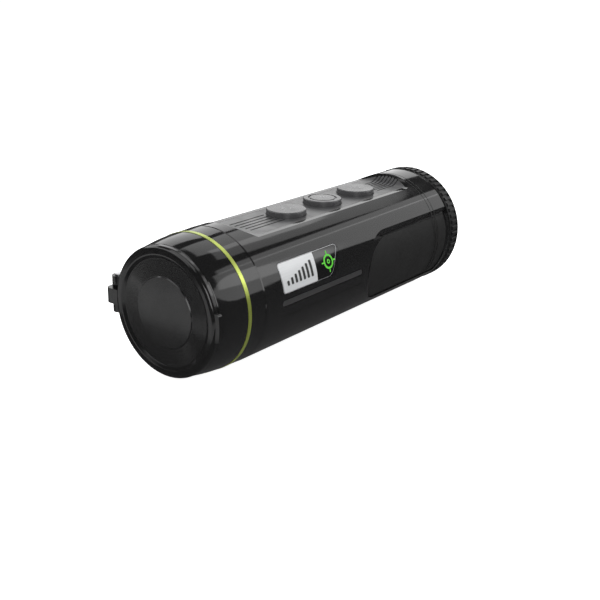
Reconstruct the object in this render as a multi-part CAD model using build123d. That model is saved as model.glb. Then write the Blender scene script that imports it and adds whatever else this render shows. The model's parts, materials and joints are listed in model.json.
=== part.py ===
"""Pocket thermal monocular: a round body with an objective and lens cover in front,
a top panel with three buttons, rubber grips, a tripod foot and a focusing eyepiece.

Every piece is drawn about the optical axis, with y = 0 at the accent ring, +Y towards
the eye, +Z up and +X on the user's left. Placing it last moves the mouth of the
tripod socket to the origin. Millimetres throughout.
"""

import os
from math import cos, pi, radians, sin, sqrt

from build123d import *

# ---- Overall sizes -------------------------------------------------------------------
BODY_R = 26.1            # outside radius of the main tube
BODY_LENGTH = 131.3      # main tube, front edge to rear edge
WALL = 2.2               # wall of the main tube
FIT = 0.05               # radial clearance between pieces that are seated or run in each other
SEAT = 0.12              # gap round an inlaid piece
FREE = 0.3               # clearance between pieces that move past each other

# ---- Front end -----------------------------------------------------------------------
RING_WIDTH = 1.7         # accent ring
RING_PROUD = 0.15
BEZEL_LENGTH = 12.8      # front bezel, ahead of the accent ring
BEZEL_TAPER = 1.85       # how much smaller in radius its front edge is than the tube
HOUSING_BAND = 7.65      # visible band of the front housing, behind the accent ring
HOUSING_TAPER = 0.35     # radius lost at the accent ring
SPIGOT_DEPTH = 3.6       # how far the front housing reaches into the main tube
SPIGOT_WALL = 2.2        # wall of the spigot that the bezel slides over
BEZEL_LIP = 4.6          # length of the bezel's inner lip
LIP_STEP = 1.6           # how far the lip stands in over the spigot
SEAL_SECTION = 1.3       # width of the front seal

# ---- Lens cover ----------------------------------------------------------------------
COVER_GAP = 0.3          # between the bezel's edge and the cover
COVER_DEPTH = 2.6
COVER_EDGE = 1.5         # rounding of the rim
COVER_R = BODY_R - BEZEL_TAPER - 0.05
COVER_RIM = 2.3          # flat crown of the rim, measured in from the rounding
DISH_DEPTH = 0.8         # how far the annulus lies below the rim
DISC_R = 13.2            # flat disc in the middle
DISC_PROUD = 0.35
LINER_R = 17.5
LINER_THICK = 0.9
TAB_HALF = 5.2           # finger tab, half its height
TAB_REACH = 1.5          # how far it stands out of the rim
HINGE_OUT = 3.55         # hinge axis, outside the bezel's front edge radius
HINGE_BACK = 2.5         # hinge axis, behind the bezel's front edge
KNUCKLE_R = 2.5
KNUCKLE_HALF = 2.9       # cover's knuckle, half its height
KNUCKLE_GAP = 0.2
EAR_HEIGHT = 3.9         # each of the bezel's two ears
PIN_R = 0.9
PIN_HEAD_R = 1.5
PIN_HEAD = 0.5           # thickness of the pin's head
ARM_SETBACK = 0.9        # cover's hinge arm, behind the rim's front
TAB_SETBACK = 0.7        # finger tab, behind the rim's front

# ---- Objective -----------------------------------------------------------------------
LENS_R = 17.6            # germanium front lens
LENS_EDGE = 2.4
LENS_CROWN = 1.5         # rise of its front face
LENS_HOLLOW = 0.7        # depth of its rear face
RETAINER_DEPTH = 1.4
RETAINER_WALL = 1.6
REAR_LENS_R = 9.5
REAR_LENS_EDGE = 2.2
BARREL_LENGTH = 26.0
BARREL_WALL = 1.3

# ---- Shutter and detector --------------------------------------------------------------
SHUTTER_PLATE = 1.2
SHUTTER_HOLE_R = 6.0
BLADE_R = 7.0
BLADE_THICK = 0.4
MOTOR_GAP = 0.8          # between the motor and the barrel it stands beside
BLADE_SWING = 60.0       # degrees from open to closed
SHAFT_R = 0.8
MOTOR_R = 3.4
MOTOR_LENGTH = 5.0
SENSOR_SIDE = 16.0
SENSOR_DEPTH = 4.0
SENSOR_WINDOW = 11.0
SENSOR_GLASS = 0.8       # thickness of the package's window
MODULE_GAP = 0.2         # between the round boards and the tube
BOARD_THICK = 1.6

# ---- Top flat, panel and buttons -------------------------------------------------------
FLAT_DROP = 3.6          # top flat below the top of the tube
FLAT_START = 5.5         # from the tube's front edge to the flat, at the middle
FLAT_NOSE_R = 18.8       # rounding of the flat's front end, seen from above
PANEL_HALF = 10.9
PANEL_START = 13.8       # from the tube's front edge
PANEL_THICK = 1.5
PANEL_CORNER = 3.0
DECK = 1.5               # shell that carries the panel
SCOOP_END = 19.6         # start of the scoop, from the tube's rear edge
SCOOP_R = 8.5            # rounding where the flat turns up
RAMP_ANGLE = 42.1        # how steeply the scoop ends at its rim
GROOVE_PITCH = 2.6
GROOVE_WIDTH = 0.7
GROOVE_DEPTH = 0.4
GROOVE_COUNT = 5
RIB_COUNT = 7
RIB_PITCH = 1.8
BUTTON_R = 7.95
BUTTON_PROUD = 2.2
BUTTON_START = 43.8      # first button's centre, from the tube's front edge
BUTTON_PITCH = 23.9
BUTTON_GAP = 0.2
BUTTON_FLANGE = 0.8
BUTTON_TRAVEL = 0.8
STEM_R = 1.8
BUTTON_FLANGE_OUT = 1.0  # how far the flange reaches under the panel
BUTTON_EDGE = 0.5        # rounding of the button's top
RING_GROOVE_WIDTH = 0.8
RING_GROOVE_DEPTH = 0.35
RING_GROOVE_R = 5.9      # ring let into the top of the middle button
GASKET_THICK = 0.7
GASKET_RIM = 1.2
GASKET_SPACE = 2.2       # between the gasket and the button board
BOARD_MARGIN = 12.0      # button board, beyond the middles of the outer buttons
DOME_R = 3.0
DOME_HEIGHT = 0.8

# ---- Side badge, slot and grips --------------------------------------------------------
BADGE_START = 10.3       # from the tube's front edge
BADGE_LENGTH = 38.7
BADGE_HEIGHT = 11.4
BADGE_ANGLE = 20.2       # middle of the badge, up from the horizontal
BADGE_SPLIT = 20.7       # silver part, from the badge's front end
BADGE_SLANT = 7.0        # how much shorter its lower edge is
BADGE_DEPTH = 0.8
SLOT_START = 9.5
SLOT_LENGTH = 51.0
SLOT_HEIGHT = 2.5
SLOT_DEPTH = 0.6
SCRIBE_DROP = 5.2        # fine line below the slot's level
SCRIBE_LENGTH = 53.0
GRIP_NOSE_R = 13.7       # rounded front end of the grip, seen from the side
GRIP_NOSE_Y = 80.0       # middle of that rounding, from the tube's front edge
GRIP_DROP = 3.4          # middle of the grip below the axis
GRIP_END = 3.3           # rear end of the grip, from the tube's rear edge
GRIP_FLOOR = 1.3         # recess depth
GRIP_THICK = 0.75
GRIP_FACET = 3.5         # side facet above the grip, in from the tube's radius
GRIP_FACET_MARGIN = 2.6  # how far the facet runs outside the grip's outline
GRIP_SLOPE_START = 4.0   # sloping edge starts this far inside the tube's surface

# ---- Foot ------------------------------------------------------------------------------
FOOT_PROUD = 0.7         # below the tube
FOOT_HALF = 6.0
FOOT_START = 15.0
FOOT_LENGTH = 82.0
SOCKET_Y = 53.5          # tripod socket, from the tube's front edge
SOCKET_R = 2.55          # bore at the crests of a 1/4 inch 20-pitch thread
SOCKET_DEPTH = 5.6
INSERT_R = 4.5
INSERT_LENGTH = 6.3
BOSS_WALL = 1.6
SCREW_R = 1.0
SCREW_HEAD_R = 1.9
PLATE_SCREW_R = 0.8
PLATE_SCREW_HEAD_R = 1.1
PLATE_SCREW_LENGTH = 6.0
PLATE_SCREW_HEAD = 0.9   # height of the head
PLATE_SCREW_INSET = 1.15 # screw's middle, in from the tube's bore
PLATE_BOSS_LENGTH = 5.0
FOOT_BOSS_RISE = 2.2     # screw bosses over the tube's inner wall
SCREW_HEAD = 0.5         # depth of the foot screws' heads
FOOT_SCREW_INSET = 7.0

# ---- Inside the tube -------------------------------------------------------------------
BATTERY_R = 9.2
BATTERY_LENGTH = 65.0
BATTERY_START = 24.0
BATTERY_TIP = 0.8        # room for the contacts at each end
CHASSIS_THICK = 1.4
MAIN_BOARD_Z = 5.0
CHASSIS_START = 22.5
CHASSIS_SPACE = 24.5     # from the chassis's rear end to the tube's rear edge
CHIP_SIDE = 17.0
CHIP_HEIGHT = 2.2
MEMORY_WIDTH = 7.0
MEMORY_LENGTH = 10.0
MEMORY_PITCH = 11.0
BOARD_POST_R = 1.5       # posts that carry the button board
BOARD_POST_X = 1.6       # in from the board's sides
BOARD_POST_Y = 3.0       # in from the board's ends
CLIP_WALL = 1.2          # plates that hold the battery's ends

# ---- Charging port ---------------------------------------------------------------------
PORT_Y = 27.0            # from the tube's front edge
PORT_LENGTH = 15.0
PORT_HEIGHT = 9.0
PORT_THICK = 1.5
PORT_EDGE = 0.65         # half-round edge that the flap turns on
PORT_GAP = 0.25          # round the closed flap
PORT_CORNER = 1.5
PORT_HINGE_INSET = 1.6   # half-round edge, in from the flap's ends
USB_WIDTH = 9.0
USB_HEIGHT = 3.2
USB_DEPTH = 7.3
USB_WALL = 0.35

# ---- Eyepiece --------------------------------------------------------------------------
DIAL_GAP = 1.4           # between the tube and the dioptre ring
DIAL_LENGTH = 6.8
DIAL_GRIP = 4.6          # ribbed part of its length
DIAL_RIBS = 60
DIAL_RIB_DEPTH = 0.65
DIAL_PROUD = 0.2         # its radius over the tube's
DIAL_BORE = 18.8
SLEEVE_WALL = 1.6        # the dioptre ring's sleeve inside the tube
SLEEVE_LENGTH = 8.2
CLIP_THICK = 0.8
CLIP_REACH = 1.0
PLATE_THICK = 2.5        # rear plate
TUBE_WALL = 2.4          # eyepiece tube
TUBE_LENGTH = 24.0
TUBE_FLANGE_Y = 3.0      # its flange, from the tube's front end
CELL_WALL = 2.2
CELL_LENGTH = 15.5
CELL_TRAVEL = 1.2        # each way
EYE_LENS_EDGE = 3.0
EYE_BULGE = 0.8
CELL_PIN_R = 0.6
CELL_PINS = 3
DIAL_TURN = 120.0        # each way
CUP_DEPTH = 4.6
CUP_WALL = 4.6
DISPLAY_WIDTH = 12.8
DISPLAY_HEIGHT = 10.4
DISPLAY_THICK = 2.6

# ---- Stations along the axis, worked out from the sizes above --------------------------
bezel_rear = -RING_WIDTH / 2
bezel_front = bezel_rear - BEZEL_LENGTH
ring_rear = RING_WIDTH / 2
body_front = ring_rear + HOUSING_BAND
body_rear = body_front + BODY_LENGTH
spigot_end = body_front + SPIGOT_DEPTH
dial_front = body_rear + DIAL_GAP
dial_rear = dial_front + DIAL_LENGTH

inner_r = BODY_R - WALL
ring_r = BODY_R - HOUSING_TAPER
bezel_r = BODY_R - BEZEL_TAPER
spigot_r = inner_r - 0.6
spigot_bore = spigot_r - SPIGOT_WALL
lip_bore = spigot_bore - LIP_STEP
lip_end = bezel_front + BEZEL_LIP

flat_z = BODY_R - FLAT_DROP
panel_front = body_front + PANEL_START
scoop_y = body_rear - SCOOP_END
rim_y = scoop_y + SCOOP_R * sin(radians(RAMP_ANGLE))
floor_z = flat_z - PANEL_THICK
deck_z = floor_z - DECK
button_ys = [body_front + BUTTON_START + i * BUTTON_PITCH for i in range(3)]
seal_y = body_front + SPIGOT_DEPTH / 2

cover_rear = bezel_front - COVER_GAP
cover_front = cover_rear - COVER_DEPTH
sleeve_r = DIAL_BORE + SLEEVE_WALL
sleeve_front = dial_front - SLEEVE_LENGTH
clip_rear = sleeve_front + 0.4 + CLIP_THICK
plate_front = clip_rear + FREE
plate_rear = plate_front + PLATE_THICK
tube_r = DIAL_BORE - FREE
tube_rear = dial_front + 1.0
tube_front = tube_rear - TUBE_LENGTH
cell_bore = tube_r - TUBE_WALL
cell_r = cell_bore - FIT
cell_rear = tube_rear - CELL_TRAVEL - 0.5
cell_front = cell_rear - CELL_LENGTH
eye_lens_r = cell_r - CELL_WALL
pin_y = sleeve_front + 4.2
slot_half = CELL_TRAVEL + CELL_PIN_R + 0.25
screw_circle_r = inner_r - PLATE_SCREW_INSET
plate_screw_spots = [
    (screw_circle_r * cos(radians(angle)), screw_circle_r * sin(radians(angle)))
    for angle in (45, 135, 225, 315)
]

hinge_x = -(bezel_r + HINGE_OUT)
hinge_y = bezel_front + HINGE_BACK
pin_half = KNUCKLE_HALF + KNUCKLE_GAP + EAR_HEIGHT
axis_height = BODY_R + FOOT_PROUD
socket_y = body_front + SOCKET_Y


# ---- Helpers ---------------------------------------------------------------------------
def turned(*corners):
    """A solid turned about the optical axis, from its (radius, y) corners."""
    return revolve(Polygon(*corners, align=None), Axis.Y)


def ring(inner, outer, front, rear):
    """A plain turned ring, or a disc where inner is 0."""
    return turned((inner, front), (outer, front), (outer, rear), (inner, rear))


def block(x0, x1, y0, y1, z0, z1):
    """A box between two corners."""
    return Pos((x0 + x1) / 2, (y0 + y1) / 2, (z0 + z1) / 2) * Box(x1 - x0, y1 - y0, z1 - z0)


def post(x, y, z0, z1, radius):
    """An upright round post."""
    return Pos(x, y, (z0 + z1) / 2) * Cylinder(radius, z1 - z0)


def rod(x, z, y0, y1, radius):
    """A round rod along the optical axis's direction."""
    return Pos(x, (y0 + y1) / 2, z) * Rot(90, 0, 0) * Cylinder(radius, y1 - y0)


def plan(sketch, z0, z1):
    """A flat outline seen from above, drawn out between two heights."""
    return extrude(Pos(0, 0, z0) * sketch, z1 - z0, dir=(0, 0, 1))


def side(sketch, x0, x1, taper=0.0):
    """An outline seen from the left, drawn out between two distances from the middle."""
    return extrude(Plane.YZ.offset(x0) * sketch, x1 - x0, dir=(1, 0, 0), taper=taper)


def bulge(radius, rise, at):
    """Height over its edge of a spherical face of this radius and rise, at a distance out."""
    sphere = (radius ** 2 + rise ** 2) / (2 * abs(rise))
    height = sqrt(sphere ** 2 - at ** 2) - (sphere - abs(rise))
    return height if rise > 0 else -height


def lens(radius, front, edge, crown, hollow):
    """A lens whose front face bulges by crown and whose rear face is hollowed, both spherical."""
    rear = front + edge
    half = radius / 2
    outline = [
        ThreePointArc((0, front - crown), (half, front - bulge(radius, crown, half)),
                      (radius, front)),
        Line((radius, front), (radius, rear)),
        ThreePointArc((radius, rear), (half, rear - bulge(radius, hollow, half)),
                      (0, rear - hollow)),
        Line((0, rear - hollow), (0, front - crown)),
    ]
    return revolve(make_face(outline), Axis.Y)


def above(drop):
    """Everything above the top flat and its upturned rear end, both lowered by drop."""
    top = BODY_R + 4
    centre_z = flat_z + SCOOP_R
    radius = SCOOP_R + drop
    ramp = radians(RAMP_ANGLE)
    end_y = scoop_y + radius * sin(ramp)
    end_z = centre_z - radius * cos(ramp)
    top_y = end_y + (top - end_z) * cos(ramp) / sin(ramp)
    middle = ramp / 2
    mid_y = scoop_y + radius * sin(middle)
    mid_z = centre_z - radius * cos(middle)
    start = (body_front, flat_z - drop)
    outline = [
        Line(start, (scoop_y, flat_z - drop)),
        ThreePointArc((scoop_y, flat_z - drop), (mid_y, mid_z), (end_y, end_z)),
        Line((end_y, end_z), (top_y, top)),
        Line((top_y, top), (body_front, top)),
        Line((body_front, top), start),
    ]
    return side(make_face(outline), -BODY_R, BODY_R)


def panel_outline(grow=0.0):
    """The top panel seen from above: square front corners rounded, its rear end bowed."""
    half = PANEL_HALF + grow
    front = panel_front - grow
    shoulder = scoop_y + 2.5 + grow
    tip = rim_y + 0.6 + grow
    outline = [
        Line((-half, shoulder), (-half, front)),
        Line((-half, front), (half, front)),
        Line((half, front), (half, shoulder)),
        ThreePointArc((half, shoulder), (0, tip), (-half, shoulder)),
    ]
    face = make_face(outline)
    return fillet(face.vertices().group_by(Axis.Y)[0], PANEL_CORNER + grow)


# ---- Front end -------------------------------------------------------------------------
def make_front_bezel():
    bow = 0.25
    middle_y = (bezel_front + bezel_rear) / 2
    middle_r = (bezel_r + ring_r) / 2 + bow
    outline = [
        Line((lip_bore, bezel_front + 0.6), (lip_bore + 1.8, bezel_front)),
        Line((lip_bore + 1.8, bezel_front), (bezel_r - 0.2, bezel_front)),
        Line((bezel_r - 0.2, bezel_front), (bezel_r, bezel_front + 0.2)),
        ThreePointArc((bezel_r, bezel_front + 0.2), (middle_r, middle_y), (ring_r, bezel_rear)),
        Line((ring_r, bezel_rear), (spigot_r + FIT, bezel_rear)),
        Line((spigot_r + FIT, bezel_rear), (spigot_r + FIT, lip_end)),
        Line((spigot_r + FIT, lip_end), (lip_bore, lip_end)),
        Line((lip_bore, lip_end), (lip_bore, bezel_front + 0.6)),
    ]
    shell = revolve(make_face(outline), Axis.Y)
    ear = post(hinge_x, hinge_y, 0, EAR_HEIGHT, KNUCKLE_R)
    web_y0 = hinge_y - KNUCKLE_R * 0.55
    web_y1 = hinge_y + KNUCKLE_R
    ear += block(hinge_x, -bezel_r + 2.2, web_y0, web_y1, 0, EAR_HEIGHT)
    ear -= ring(0, bezel_r - 0.6, bezel_front - 2, bezel_rear)
    low = KNUCKLE_HALF + KNUCKLE_GAP
    bezel = shell + Pos(0, 0, low) * ear + Pos(0, 0, -low - EAR_HEIGHT) * ear
    return bezel - post(hinge_x, hinge_y, -pin_half - 1, pin_half + 1, PIN_R)


def make_accent_ring():
    return ring(spigot_r + FIT, ring_r + RING_PROUD, bezel_rear, ring_rear)


def make_front_housing():
    outline = [
        Line((spigot_bore, lip_end), (spigot_r, lip_end)),
        Line((spigot_r, lip_end), (spigot_r, ring_rear)),
        Line((spigot_r, ring_rear), (ring_r, ring_rear)),
        Line((ring_r, ring_rear), (BODY_R - 0.05, body_front - 0.3)),
        Line((BODY_R - 0.05, body_front - 0.3), (BODY_R - 0.35, body_front)),
        Line((BODY_R - 0.35, body_front), (inner_r - FIT, body_front)),
        Line((inner_r - FIT, body_front), (inner_r - FIT, spigot_end)),
        Line((inner_r - FIT, spigot_end), (spigot_bore, spigot_end)),
        Line((spigot_bore, spigot_end), (spigot_bore, lip_end)),
    ]
    housing = revolve(make_face(outline), Axis.Y)
    return housing - ring(inner_r - SEAL_SECTION, inner_r + 1, seal_y - SEAL_SECTION / 2,
                          seal_y + SEAL_SECTION / 2)


def make_front_seal():
    gap = FIT / 2
    return ring(inner_r - SEAL_SECTION, inner_r, seal_y - SEAL_SECTION / 2 + gap,
                seal_y + SEAL_SECTION / 2 - gap)


# ---- Lens cover ------------------------------------------------------------------------
def make_lens_cover():
    crown = COVER_R - COVER_EDGE
    dish = crown - COVER_RIM
    floor = cover_front + DISH_DEPTH
    disc = floor - DISC_PROUD
    mid = COVER_EDGE * (1 - cos(radians(45)))
    outline = [
        Line((0, disc), (DISC_R - 0.3, disc)),
        Line((DISC_R - 0.3, disc), (DISC_R, floor)),
        Line((DISC_R, floor), (dish - 0.6, floor)),
        Line((dish - 0.6, floor), (dish + 0.5, cover_front + 0.1)),
        Line((dish + 0.5, cover_front + 0.1), (dish + 1.0, cover_front)),
        Line((dish + 1.0, cover_front), (crown, cover_front)),
        ThreePointArc((crown, cover_front), (COVER_R - mid, cover_front + mid),
                      (COVER_R, cover_front + COVER_EDGE)),
        Line((COVER_R, cover_front + COVER_EDGE), (COVER_R, cover_rear)),
        Line((COVER_R, cover_rear), (0, cover_rear)),
        Line((0, cover_rear), (0, disc)),
    ]
    cover = revolve(make_face(outline), Axis.Y)
    tab_r = COVER_R + TAB_REACH
    tab = ring(COVER_R - COVER_EDGE, tab_r, cover_front + TAB_SETBACK, cover_rear)
    tab = tab & block(0, tab_r + 1, cover_front, cover_rear, -TAB_HALF, TAB_HALF)
    tab = fillet(tab.edges().filter_by(Axis.Y).sort_by(Axis.X)[-2:], 1.0)
    arm_front = cover_front + ARM_SETBACK
    arm = block(hinge_x, -COVER_R + COVER_EDGE + 1, arm_front, cover_rear,
                -KNUCKLE_HALF, KNUCKLE_HALF)
    arm += block(hinge_x - KNUCKLE_R, hinge_x + KNUCKLE_R * 0.45, arm_front, hinge_y,
                 -KNUCKLE_HALF, KNUCKLE_HALF)
    arm += post(hinge_x, hinge_y, -KNUCKLE_HALF, KNUCKLE_HALF, KNUCKLE_R)
    corner = arm.edges().filter_by(Axis.Z).group_by(Axis.Y)[0].sort_by(Axis.X)[0]
    arm = fillet(corner, 1.8)
    cover = cover + tab + arm
    return cover - post(hinge_x, hinge_y, -pin_half, pin_half, PIN_R + FIT)


def make_cover_liner():
    return ring(0, LINER_R, cover_rear, cover_rear + LINER_THICK)


def make_hinge_pin():
    pin = post(hinge_x, hinge_y, -pin_half, pin_half, PIN_R)
    return pin + post(hinge_x, hinge_y, pin_half, pin_half + PIN_HEAD, PIN_HEAD_R)


# ---- Objective -------------------------------------------------------------------------
barrel_r = spigot_bore - FIT
barrel_front = lip_end
retainer_rear = barrel_front + RETAINER_DEPTH
barrel_rear = barrel_front + BARREL_LENGTH
rear_lens_y = barrel_rear - REAR_LENS_EDGE - 1.6
rear_tube_r = REAR_LENS_R + BARREL_WALL


def make_objective_barrel():
    pocket_rear = retainer_rear + LENS_EDGE
    return turned(
        (LENS_R + FIT, barrel_front), (barrel_r, barrel_front), (barrel_r, spigot_end),
        (rear_tube_r, spigot_end), (rear_tube_r, barrel_rear),
        (REAR_LENS_R + FIT, barrel_rear), (REAR_LENS_R + FIT, rear_lens_y),
        (REAR_LENS_R - 0.9, rear_lens_y), (LENS_R - 1.0, pocket_rear),
        (LENS_R + FIT, pocket_rear),
    )


def make_objective_lens():
    return lens(LENS_R, retainer_rear, LENS_EDGE, LENS_CROWN, LENS_HOLLOW)


def make_objective_retainer():
    inner = LENS_R - RETAINER_WALL
    rear = retainer_rear - bulge(LENS_R, LENS_CROWN, inner)
    return turned((inner, rear), (inner + 0.6, barrel_front), (LENS_R, barrel_front),
                  (LENS_R, rear))


def make_rear_objective_lens():
    return lens(REAR_LENS_R, rear_lens_y, REAR_LENS_EDGE, -0.4, 0.5)


def make_rear_lens_retainer():
    return ring(REAR_LENS_R - 1.3, REAR_LENS_R, rear_lens_y + REAR_LENS_EDGE, barrel_rear)


# ---- Shutter and detector --------------------------------------------------------------
module_r = deck_z - 0.3
shutter_front = barrel_rear + 0.5
blade_front = shutter_front + SHUTTER_PLATE + FREE
blade_arm = rear_tube_r + MOTOR_R + MOTOR_GAP
shaft_z = -blade_arm
round_board_r = inner_r - MODULE_GAP
sensor_front = blade_front + BLADE_THICK + 1.0
sensor_board = sensor_front + SENSOR_DEPTH


def make_shutter_frame():
    frame = ring(SHUTTER_HOLE_R, round_board_r, shutter_front, shutter_front + SHUTTER_PLATE)
    frame -= block(-BODY_R, BODY_R, shutter_front - 1, sensor_front, module_r, BODY_R)
    return frame - rod(0, shaft_z, shutter_front - 1, sensor_front, SHAFT_R + 0.2)


def make_shutter_motor():
    motor = rod(0, shaft_z, shutter_front - MOTOR_LENGTH, shutter_front, MOTOR_R)
    return motor + rod(0, shaft_z, shutter_front, blade_front + BLADE_THICK, SHAFT_R)


def make_shutter_blade():
    """The blade at rest, swung open to the side."""
    rear = blade_front + BLADE_THICK
    blade = rod(0, 0, blade_front, rear, BLADE_R)
    blade += block(-2 * SHAFT_R, 2 * SHAFT_R, blade_front, rear, shaft_z, -BLADE_R / 2)
    blade += rod(0, shaft_z, blade_front, rear, 2.75 * SHAFT_R)
    blade -= rod(0, shaft_z, blade_front - 1, rear + 1, SHAFT_R + FIT)
    shaft = Axis((0, 0, shaft_z), (0, 1, 0))
    return blade.rotate(shaft, BLADE_SWING)


def make_detector_package():
    half = SENSOR_SIDE / 2
    package = block(-half, half, sensor_front, sensor_board, -half, half)
    hole = SENSOR_WINDOW / 2
    return package - block(-hole, hole, sensor_front - 1, sensor_front + SENSOR_GLASS,
                           -hole, hole)


def make_detector_window():
    hole = SENSOR_WINDOW / 2
    return block(-hole, hole, sensor_front, sensor_front + SENSOR_GLASS, -hole, hole)


def make_detector_board():
    board = ring(0, round_board_r, sensor_board, sensor_board + BOARD_THICK)
    return board - block(-BODY_R, BODY_R, sensor_board - 1, sensor_board + 3, module_r, BODY_R)


# ---- Main tube -------------------------------------------------------------------------
grip_z = -GRIP_DROP
grip_y = body_front + GRIP_NOSE_Y
grip_end = body_rear - GRIP_END
grip_floor_r = BODY_R - GRIP_FLOOR
grip_base_x = sqrt(grip_floor_r ** 2 - (GRIP_DROP + GRIP_NOSE_R) ** 2) - GRIP_SLOPE_START


def grip_outline(grow=0.0):
    """The grip seen from the side: a rounded nose in front, straight edges behind."""
    radius = GRIP_NOSE_R + grow
    nose = Pos(grip_y, grip_z) * Circle(radius)
    end = grip_end + grow
    tail = Pos((grip_y + end) / 2, grip_z) * Rectangle(end - grip_y, 2 * radius)
    return nose + tail


def grip_recess():
    """What is cut from the left side of the tube for its grip, with sloping edges."""
    cut = side(grip_outline(), grip_base_x, BODY_R + 3)
    cut += side(grip_outline(grip_base_x - grip_floor_r), grip_base_x, BODY_R + 3, taper=-45)
    facet = side(grip_outline(GRIP_FACET_MARGIN), BODY_R - GRIP_FACET, BODY_R + 3)
    facet &= block(0, BODY_R + 5, body_front, body_rear, grip_z + GRIP_NOSE_R - 0.2, BODY_R)
    return (cut - ring(0, grip_floor_r, body_front, body_rear)) + facet


def badge_outline(grow=0.0):
    """The badge on its own plane: square in front, slanted behind, corners rounded."""
    low = -BADGE_HEIGHT / 2 - grow
    high = BADGE_HEIGHT / 2 + grow
    front = -grow
    rear = BADGE_LENGTH + grow
    face = Polygon((front, low), (rear - BADGE_SLANT, low), (rear, high), (front, high),
                   align=None)
    rear_corners = face.vertices().sort_by(Axis.X)[-2:]
    face = fillet(rear_corners, 2.6)
    front_corners = face.vertices().sort_by(Axis.X)[:2]
    return fillet(front_corners, 1.4)


badge_plane = Plane(
    origin=(0, body_front + BADGE_START, 0),
    x_dir=(0, 1, 0),
    z_dir=(cos(radians(BADGE_ANGLE)), 0, sin(radians(BADGE_ANGLE))),
)


def from_badge_plane(sketch):
    """A sketch on the badge's plane, drawn outwards through the tube's wall."""
    return extrude(badge_plane.offset(BODY_R - 6) * sketch, 9, dir=badge_plane.z_dir)


def badge_layer(grow, depth, lift=0.0):
    """The badge's outline drawn out radially, between a floor and the tube's surface."""
    solid = from_badge_plane(badge_outline(grow))
    skin = ring(BODY_R - depth, BODY_R + lift, body_front, body_rear)
    return solid & skin


def foot_blank():
    """The foot rail before its socket and screw holes are made."""
    start = body_front + FOOT_START
    rail = block(-FOOT_HALF, FOOT_HALF, start, start + FOOT_LENGTH, -axis_height,
                 -BODY_R * 0.8)
    rail = fillet(rail.edges().filter_by(Axis.Z), 2.5)
    return rail - ring(0, BODY_R, body_front, body_rear)


foot_start = body_front + FOOT_START
foot_screw_ys = [foot_start + FOOT_SCREW_INSET, foot_start + FOOT_LENGTH - FOOT_SCREW_INSET]
port_y = body_front + PORT_Y
port_y0 = port_y - PORT_LENGTH / 2
port_y1 = port_y + PORT_LENGTH / 2
port_floor = -(BODY_R - PORT_THICK - 0.2)
flap_pivot_x = port_floor - 0.1 - PORT_EDGE
flap_pivot_z = -PORT_HEIGHT / 2 + PORT_EDGE


def port_blank(grow=0.0):
    """The port cover's outline, drawn inwards from the right side of the tube."""
    face = Pos(port_y, 0) * RectangleRounded(PORT_LENGTH + 2 * grow, PORT_HEIGHT + 2 * grow,
                                             PORT_CORNER + grow)
    return side(face, -BODY_R - 3, port_floor)


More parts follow.
